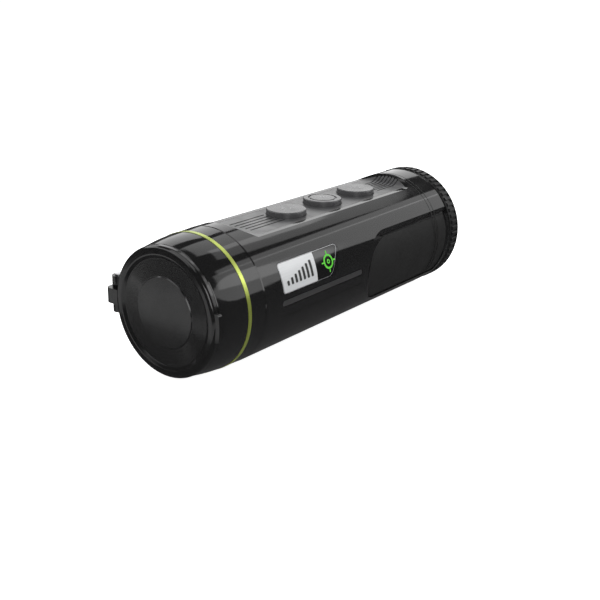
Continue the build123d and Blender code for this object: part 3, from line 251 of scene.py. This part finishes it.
# %% [markdown]
# ## The lens cover
# Its rim and the disc in the middle are smooth, and the ring between them has fine turned
# grooves, which spread a reflection into two pale fans as a record does. A sine of the
# distance to the axis makes the grooves, and a mask on that distance keeps them in place.

# %% Cover finish
DISC_R = 0.0132
DISH_R = 0.0195
GROOVE_PITCH = 0.0004


def cover_black():
    made = Finish("cover_black")
    out = made.from_axis()
    annulus = (made.remap(out, DISC_R, DISC_R + 0.0004, 0.0, 1.0)
               * made.remap(out, DISH_R, DISH_R + 0.0006, 1.0, 0.0))
    disc = made.remap(out, DISC_R - 0.0002, DISC_R, 1.0, 0.0)
    speck = made.noise(2500.0, 3.0)
    # The middle disc is painted twice as light as the rim and ring: a painted reflection of
    # the pale ground in front of the cover.
    shade = made.blend(disc, rgba(0.006, 0.006, 0.0062), rgba(0.012, 0.012, 0.0123))
    made.set(Base_Color=made.blend(annulus, shade, rgba(0.007, 0.007, 0.0072)))
    smooth = made.remap(made.noise(160.0, 4.0), 0.35, 0.75, 0.10, 0.17)
    made.set(Roughness=smooth + annulus * 0.02 + disc * 0.08)
    waves = out.sum("SINE", out * (2 * pi / GROOVE_PITCH), 0.0)
    made.bump(waves * annulus * 0.6 + speck * (annulus * 0.3 + 0.04), 0.9, 0.00004)
    made.set(Specular_IOR_Level=0.5)
    return made


finishes["cover_black"] = cover_black()

# %% [markdown]
# ## Buttons and tag
# The button tops are a lighter satin plastic, and the front half of the tag is brushed
# silver. A brushed look is noise stretched a long way along one direction.

# %% Brushed finishes
def brushed(name, colour, roughness, stretch, **constants):
    made = Finish(name)
    grain = made.node("ShaderNodeMapping", {}, {"Vector": made.place, "Scale": stretch})
    lines = made.noise(1.0, 3.0, at=grain)
    made.set(Base_Color=made.blend(lines, rgba(*[c * 0.86 for c in colour]),
                                   rgba(*[min(c * 1.12, 1.0) for c in colour])))
    made.set(Roughness=made.remap(lines, 0.3, 0.7, roughness - 0.05, roughness + 0.07))
    made.bump(lines, 0.15, 0.00003)
    made.set(**constants)
    return made


finishes["silver_plate"] = brushed("silver_plate", (0.62, 0.63, 0.64), 0.34,
                                   (300.0, 60.0, 6000.0), Metallic=0.25)
finishes["button_satin"] = moulded("button_satin", (0.095, 0.095, 0.098), 0.27, grain=0.0003)

# %% [markdown]
# ## Glass
# The front lens of a thermal camera is germanium. It is opaque to the eye and looks like a
# dark mirror with a grey-gold coating, so it is made as a metal. The eye lenses are clear
# glass with a coating whose colour changes a little across the face.

# %% Lens finishes
def germanium():
    made = Finish("germanium")
    film = made.remap(made.from_axis(), 0.0, 0.018, 0.0, 1.0)
    made.set(Base_Color=made.blend(film, rgba(0.20, 0.17, 0.22), rgba(0.30, 0.27, 0.20)))
    made.set(Roughness=made.remap(made.noise(90.0, 3.0), 0.3, 0.7, 0.05, 0.1))
    made.bump(made.noise(1500.0, 1.0), 0.05, 0.00001)
    made.set(Metallic=1.0)
    return made


def coated_glass():
    made = Finish("optical_glass")
    film = made.remap(made.from_axis(), 0.0, 0.016, 0.0, 1.0)
    made.set(Base_Color=made.blend(film, rgba(0.05, 0.04, 0.09), rgba(0.02, 0.06, 0.07)))
    made.set(Roughness=made.remap(made.noise(90.0, 3.0), 0.3, 0.7, 0.03, 0.07))
    made.bump(made.noise(1500.0, 1.0), 0.05, 0.00001)
    made.set(Coat_Weight=1.0)
    return made


finishes["germanium"] = germanium()
finishes["optical_glass"] = coated_glass()

# %% [markdown]
# Each piece in the record names the finish it has, so one loop dresses them all.

# %% Dress the pieces
slot_of = {part["node"]: part["material_slot"] for part in frame["record"]["subparts"]}
for name, piece in frame["nodes"].items():
    made = finishes[slot_of[name]]
    for i in range(max(1, len(piece.material_slots))):
        if piece.material_slots:
            piece.material_slots[i].material = made.material
        else:
            piece.data.materials.append(made.material)
print("dressed:", len(slot_of))


# %% [markdown]
# ## Making small flat marks
# Button symbols and the tag's marks are printed or laser cut: thin shapes on a surface.
# Each is drawn flat as a bmesh, given a little thickness, and then moved to its place in
# the mesh itself, so its object stays at the origin as the model's own pieces do.

# %% Marks
def finish_mesh(name, bm, made, body):
    """Turn a bmesh into a piece that rides on a body."""
    bmesh.ops.remove_doubles(bm, verts=bm.verts, dist=1e-7)
    bmesh.ops.recalc_face_normals(bm, faces=bm.faces)
    mesh = bpy.data.meshes.new(name)
    bm.to_mesh(mesh)
    bm.free()
    mesh.materials.append(made.material)
    piece = bpy.data.objects.new(name, mesh)
    bpy.context.scene.collection.objects.link(piece)
    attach(piece, body)
    return piece


def add_ring(bm, radius, width, thick, centre=(0.0, 0.0), start=0.0, turn=2 * pi, steps=48):
    """An arc of a flat band, spun from its small rectangular section."""
    x, y = centre
    section = [bm.verts.new((x + r, y, z)) for r, z in (
        (radius, 0.0), (radius + width, 0.0), (radius + width, thick), (radius, thick))]
    face = bm.faces.new(section)
    spun = Matrix.Translation((x, y, 0)) @ Matrix.Rotation(start, 4, "Z")
    bmesh.ops.transform(bm, matrix=spun @ Matrix.Translation((-x, -y, 0)), verts=section)
    whole = abs(turn - 2 * pi) < 1e-6
    edges = list(face.edges)
    if whole:
        bmesh.ops.delete(bm, geom=[face], context="FACES_ONLY")
    bmesh.ops.spin(bm, geom=edges if whole else edges + [face], cent=(x, y, 0),
                   axis=(0, 0, 1), angle=turn, steps=steps, use_merge=whole)


def add_bar(bm, length, width, thick, centre=(0.0, 0.0), turn=0.0):
    """A flat bar with its four upright corners slightly rounded."""
    made = bmesh.ops.create_cube(bm, size=1.0)["verts"]
    bmesh.ops.scale(bm, vec=(length, width, thick), verts=made)
    upright = [e for e in {e for v in made for e in v.link_edges}
               if abs(e.verts[0].co.z - e.verts[1].co.z) > thick / 2]
    cut = bmesh.ops.bevel(bm, geom=upright, offset=width * 0.3, affect="EDGES", segments=3,
                          profile=0.5, material=-1)
    verts = list({v for f in cut["faces"] for v in f.verts} | {v for v in made if v.is_valid})
    place = (Matrix.Translation((centre[0], centre[1], thick / 2))
             @ Matrix.Rotation(turn, 4, "Z"))
    bmesh.ops.transform(bm, matrix=place, verts=verts)


# %% [markdown]
# ## Button symbols
# Each button has a plain symbol that needs no words: a crossed circle for aiming, bars for
# the picture's palette, and a circle with a stem for power. They are pale prints, proud of
# the top by a few hundredths of a millimetre.

# %% Button symbols
print_pale = moulded("print_pale", (0.42, 0.42, 0.43), 0.45)
PRINT = 0.00004
STROKE = 0.0004


def add_ticks(bm, away, length, width):
    """Four short bars round a ring, a quarter turn apart."""
    for i in range(4):
        turn = i * pi / 2
        add_bar(bm, length, width, PRINT, (away * cos(turn), away * sin(turn)), turn)


def symbol_aim(bm):
    add_ring(bm, 0.0017, STROKE, PRINT)
    add_ticks(bm, 0.0023, 0.0011, STROKE)


def symbol_palette(bm):
    for i, length in enumerate((0.0034, 0.0026, 0.0018)):
        add_bar(bm, length, STROKE * 1.1, PRINT, (0.0, (i - 1) * 0.0011))


def symbol_power(bm):
    add_ring(bm, 0.0016, STROKE, PRINT, start=radians(125), turn=radians(290), steps=36)
    add_bar(bm, 0.0016, STROKE, PRINT, (0.0, 0.0014), pi / 2)


BUTTONS = {"front_button": symbol_power, "middle_button": symbol_palette,
           "rear_button": symbol_aim}
for button, draw in BUTTONS.items():
    low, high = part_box(button)
    bm = bmesh.new()
    draw(bm)
    centre = ((low[0] + high[0]) / 2, (low[1] + high[1]) / 2, high[2] - PRINT / 2)
    turned = Matrix.Translation(centre) @ Matrix.Rotation(radians(90), 4, "Z")
    bmesh.ops.transform(bm, matrix=turned, verts=bm.verts)
    piece = finish_mesh(button + "_symbol", bm, print_pale, button)
    print(piece.name, "faces", len(piece.data.polygons))

# %% [markdown]
# ## Marks on the tag
# The tag carries a plain heat scale on its silver half, rising dark bars that stand for
# cold to hot, and a green ring with a dot on its black half. The marks are drawn flat and
# then wrapped round the tube: their height becomes an angle about the axis. A straight edge
# would cut under the round surface between its ends, so a drawing is first cut into strips
# along the tube, narrow enough for the bend.

# %% Wrap round the tube
TAG_ANGLE = radians(20.2)
WRAP_PITCH = 0.0004
WRAP_CUTS = 16


def wrap(bm, start_y, angle, lift):
    """Bend a flat drawing (x along the tube, y up it, z out of it) onto the tube."""
    for step in range(-WRAP_CUTS, WRAP_CUTS + 1):
        bmesh.ops.bisect_plane(bm, geom=list(bm.verts) + list(bm.edges) + list(bm.faces),
                               dist=1e-7, plane_co=(0.0, step * WRAP_PITCH, 0.0),
                               plane_no=(0.0, 1.0, 0.0))
    for vert in bm.verts:
        along, up, out = vert.co
        turn = angle + up / tube_r
        reach = tube_r + lift + out
        vert.co = Vector((reach * cos(turn), start_y + along, axis_z + reach * sin(turn)))


# %% Tag marks
plate_low, plate_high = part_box("badge_plate")
window_low, window_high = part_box("badge_window")
print_dark = moulded("print_dark", (0.02, 0.02, 0.02), 0.5)
print_green = moulded("print_green", (0.10, 0.62, 0.03), 0.4)
TAG_LIFT = 0.00003

bm = bmesh.new()
BARS = 7
BAR_LOWEST, BAR_RISE = 0.0018, 0.0046
BAR_WIDTH, BAR_PITCH, BAR_START = 0.0013, 0.0024, 0.0034
for i in range(BARS):
    height = BAR_LOWEST + BAR_RISE * i / (BARS - 1)
    foot = -(BAR_LOWEST + BAR_RISE) / 2
    add_bar(bm, height, BAR_WIDTH, PRINT,
            (BAR_START + i * BAR_PITCH, foot + height / 2), pi / 2)
bmesh.ops.subdivide_edges(bm, edges=bm.edges, cuts=1)
wrap(bm, plate_low[1], TAG_ANGLE, TAG_LIFT)
scale_marks = finish_mesh("tag_heat_scale", bm, print_dark, "housing")

bm = bmesh.new()
add_ring(bm, 0.0021, 0.0008, PRINT)
add_ring(bm, 0.0004, 0.0005, PRINT, steps=24)
add_ticks(bm, 0.0036, 0.0012, 0.0006)
SPOT_FROM_WINDOW = 0.0082
wrap(bm, window_low[1] + SPOT_FROM_WINDOW, TAG_ANGLE, TAG_LIFT)
spot_mark = finish_mesh("tag_heat_spot", bm, print_green, "housing")
print("tag marks:", scale_marks.name, spot_mark.name)

# %% [markdown]
# The tag has a fine bright rim. Its pale grey stands for the tag's thin outline and is also a
# painted highlight of the light its edge catches.
# Its four corners are rounded as the tag's are, the face is inset by the rim's width, and only
# the narrow border is kept and given a thickness.

# %% Tag rim
# Pale grey metal for the tag's outline, light enough to paint in the highlight its edge
# catches.
rim_outline_highlight = moulded("rim_outline_highlight", (0.30, 0.30, 0.31), 0.3, Metallic=0.6)
TAG_HEIGHT = 0.0114
TAG_SLANT = 0.0070
RIM = 0.00022
tag_length = window_high[1] - plate_low[1]
bm = bmesh.new()
corners = [bm.verts.new((x, y, 0.0)) for x, y in (
    (0.0, -TAG_HEIGHT / 2), (tag_length - TAG_SLANT, -TAG_HEIGHT / 2),
    (tag_length, TAG_HEIGHT / 2), (0.0, TAG_HEIGHT / 2))]
bm.faces.new(corners)
for pair, radius in ((corners[1:3], 0.0024), ((corners[0], corners[3]), 0.0013)):
    bmesh.ops.bevel(bm, geom=list(pair), offset=radius, affect="VERTICES", segments=5,
                    profile=0.5, material=-1)
inner = list(bm.faces)
bmesh.ops.inset_region(bm, faces=inner, use_boundary=True, use_even_offset=True,
                       thickness=RIM, depth=0.0)
bmesh.ops.delete(bm, geom=inner, context="FACES_ONLY")
grown = bmesh.ops.extrude_face_region(bm, geom=list(bm.faces))["geom"]
bmesh.ops.translate(bm, vec=(0, 0, PRINT), verts=[g for g in grown if hasattr(g, "co")])
wrap(bm, plate_low[1], TAG_ANGLE, TAG_LIFT)
rim = finish_mesh("tag_rim", bm, rim_outline_highlight, "housing")
print(rim.name, "faces", len(rim.data.polygons))

# %% [markdown]
# ## The strip in the side slot
# The long slot under the tag holds a satin strip, which is why it reads lighter than the
# gloss round it. It is one bar with round ends, laid on the slot's floor.

# %% Slot strip
strip_satin = moulded("strip_satin", (0.035, 0.035, 0.036), 0.38, grain=0.0003)
SLOT_START, SLOT_LENGTH, SLOT_HEIGHT = 0.0095, 0.051, 0.0025
SLOT_FLOOR = -0.00055
SLOT_ANGLE = radians(-0.2)
STRIP_GAP, STRIP_THICK = 0.0004, 0.0004
bm = bmesh.new()
add_bar(bm, SLOT_LENGTH - STRIP_GAP, SLOT_HEIGHT - STRIP_GAP, STRIP_THICK)
wrap(bm, tube_low[1] + SLOT_START + SLOT_LENGTH / 2, SLOT_ANGLE, SLOT_FLOOR)
strip = finish_mesh("slot_strip", bm, strip_satin, "housing")
print(strip.name, "faces", len(strip.data.polygons))

# %% [markdown]
# ## Joint lines
# Behind the scoop the tube's rear collar is a separate moulding, and its two joint lines
# show as fine dark rings. Each is a thin band spun round the axis, just proud of the tube.

# %% Joint lines
shadow_line = moulded("shadow_line", (0.004, 0.004, 0.004), 0.5)
LINES_FROM_REAR = (0.0136, 0.0112)
LINE_WIDTH = 0.0003
line_inner, line_outer = tube_r - 0.0001, tube_r + 0.00003
for i, back in enumerate(LINES_FROM_REAR):
    y = tube_high[1] - back
    bm = bmesh.new()
    section = [bm.verts.new((r, y + d, 0)) for r, d in (
        (line_inner, 0.0), (line_outer, 0.0), (line_outer, LINE_WIDTH),
        (line_inner, LINE_WIDTH))]
    face = bm.faces.new(section)
    edges = list(face.edges)
    bmesh.ops.delete(bm, geom=[face], context="FACES_ONLY")
    bmesh.ops.spin(bm, geom=edges, cent=(0, 0, 0), axis=(0, 1, 0), angle=2 * pi, steps=180,
                   use_merge=True)
    bmesh.ops.translate(bm, vec=(0, 0, axis_z), verts=bm.verts)
    line = finish_mesh(f"collar_line_{i + 1}", bm, shadow_line, "housing")
    print(line.name, "faces", len(line.data.polygons))

# %% [markdown]
# ## The studio
# A pale floor without a horizon comes first. It is kept out of reflections, which leaves the
# tube's underside a deep black.

# %% Floor
FLOOR_RADIUS = 6.0


def stand(name, bm, made):
    """Turn a bmesh into a part of the studio."""
    mesh = bpy.data.meshes.new(name)
    bm.to_mesh(mesh)
    bm.free()
    mesh.materials.append(made.material)
    thing = bpy.data.objects.new(name, mesh)
    bpy.context.scene.collection.objects.link(thing)
    return thing


def paper_finish(name, grain, darker, lighter, roughness, **constants):
    """A pale matt sheet whose tone drifts a little."""
    made = Finish(name)
    made.set(Base_Color=made.blend(made.noise(grain), rgba(darker, darker, darker),
                                   rgba(lighter, lighter, lighter)),
             Roughness=roughness, **constants)
    return made


white = rgba(1.0, 1.0, 1.0)
bm = bmesh.new()
bmesh.ops.create_circle(bm, cap_ends=True, radius=FLOOR_RADIUS, segments=64)
floor = stand("floor", bm, paper_finish("paper_white", 6.0, 0.90, 0.93, 0.9,
                                        Emission_Color=white, Emission_Strength=0.95))
floor.visible_glossy = False
print("floor radius", FLOOR_RADIUS)

# %% [markdown]
# Low views look past the edge of the floor. A plain white dome closes the studio there. It
# is seen directly only, and neither lights the object nor shows in its gloss.

# %% Dome
bm = bmesh.new()
bmesh.ops.create_uvsphere(bm, u_segments=48, v_segments=24, radius=FLOOR_RADIUS - 0.1)
bmesh.ops.reverse_faces(bm, faces=bm.faces)
dome = stand("dome", bm, paper_finish("dome_white", 1.0, 0.95, 1.0, 1.0,
                                      Emission_Color=white, Emission_Strength=1.0))
dome.visible_glossy = False
dome.visible_diffuse = False
dome.visible_shadow = False
dome.visible_transmission = False
print("dome faces", len(dome.data.polygons))

# %% [markdown]
# The cover faces the front left corner of the table, so a long pale card lies there. It is
# shallow, so the grooves at the cover's sides catch it and those at its top and bottom see
# past it. It is hidden from the camera, and works only through the gloss.

# %% Card for the cover
CARD_SIZE = (0.50, 0.046, 1.0)
CARD_PLACE = (-0.12, -0.141, 0.0001)
bm = bmesh.new()
bmesh.ops.create_grid(bm, x_segments=2, y_segments=2, size=0.5)
bmesh.ops.scale(bm, vec=CARD_SIZE, verts=bm.verts)
bmesh.ops.bevel(bm, geom=[v for v in bm.verts if len(v.link_edges) == 2], offset=0.01,
                affect="VERTICES", segments=4, profile=0.5, material=-1)
bmesh.ops.translate(bm, vec=CARD_PLACE, verts=bm.verts)
card = stand("card", bm, paper_finish("card_pale", 3.0, 0.84, 0.90, 0.8))
card.visible_camera = False
print("card faces", len(card.data.polygons))

# %% [markdown]
# ## Lights
# Gloss black shows little but its lights, so soft boxes are placed for what they look like
# in it. Behind the object and to the right, the stripe, its fine bright edge and a round
# patch near the ring run down the tube. The top, front top and shoulder boxes make the pale
# panel and upper side. An overhead box fills the matt pieces, two boxes on the far side
# draw the tube's left and rear in other views, and one by the camera rounds off the rims.

# %% Lights
middle = Vector((0.0, 0.0, axis_z))


def softbox(name, towards, distance, along, length, width, power, shape="RECTANGLE"):
    """A lit panel that faces the object, its long side laid along a direction."""
    data = bpy.data.lights.new(name, "AREA")
    data.shape = shape
    data.size = length
    data.size_y = width
    data.energy = power
    light = bpy.data.objects.new(name, data)
    back = Vector(towards).normalized()
    across = back.cross(Vector(along)).normalized()
    turn = Matrix((across.cross(back), across, back)).transposed().to_4x4()
    light.matrix_world = Matrix.Translation(middle + back * distance) @ turn
    bpy.context.scene.collection.objects.link(light)
    return light


softbox("stripe_box", (0.56, 0.70, 0.49), 1.02, (0.50, -0.67, 0.48), 0.8, 0.40, 1.3)
softbox("patch_box", (0.73, 0.55, 0.38), 1.02, (0.50, -0.67, 0.48), 0.60, 0.60, 1.25,
        "ELLIPSE")
softbox("stripe_edge_box", (0.30, 0.78, 0.56), 1.05, (0.50, -0.67, 0.48), 1.0, 0.12, 0.45)
softbox("top_box", (-0.57, 0.75, 0.33), 1.1, (0.50, 0.0, 0.87), 0.64, 1.0, 2.8)
softbox("front_top_box", (-0.20, 0.62, 0.76), 1.1, (0.966, 0.0, 0.26), 0.48, 0.52, 1.0)
softbox("shoulder_box", (0.06, 0.70, 0.71), 1.05, (1.0, 0.0, -0.09), 0.32, 0.47, 0.42)
softbox("overhead_box", (-0.1, -0.2, 1.0), 1.3, (1.0, 0.0, 0.0), 1.2, 1.2, 6.5)
softbox("far_side_box", (-0.42, -0.66, 0.62), 1.1, (0.8, -0.5, 0.0), 0.9, 0.45, 2.0)
softbox("far_back_box", (-0.85, -0.1, 0.5), 1.1, (0.0, 1.0, 0.0), 0.9, 0.35, 2.0)
softbox("rim_box", (0.66, -0.68, 0.32), 1.0, (0.7, 0.7, 0.0), 0.5, 0.5, 2.6)

world = bpy.data.worlds.new("studio")
bpy.context.scene.world = world
world.use_nodes = True
background = world.node_tree.nodes["Background"]
background.inputs["Color"].default_value = white
background.inputs["Strength"].default_value = 0.08
bpy.context.scene.view_settings.view_transform = "Standard"
